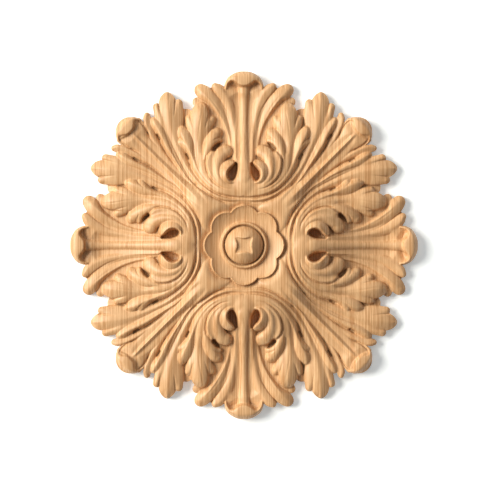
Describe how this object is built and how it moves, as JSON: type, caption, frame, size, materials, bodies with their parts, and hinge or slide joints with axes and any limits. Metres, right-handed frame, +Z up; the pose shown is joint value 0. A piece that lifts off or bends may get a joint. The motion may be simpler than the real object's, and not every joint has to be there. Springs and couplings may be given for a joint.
{
  "type": "carved rosette",
  "caption": "Round carved wooden rosette with a domed button, a petalled flower and radiating acanthus leaves with rolled over tips, flat at the back.",
  "frame": {"origin": "centre of the flat back, where the rosette lies against the wall or panel", "axes": "+Y into the wall, out of the flat back; -Y out of the carved face; +Z up, along the grain; +X to the right as seen from the front"},
  "size_m": [0.348, 0.0396, 0.348],
  "materials": {
    "wood": "satin"
  },
  "bodies": {
    "root": {"carved_rosette": "wood"}
  },
  "joints": []
}
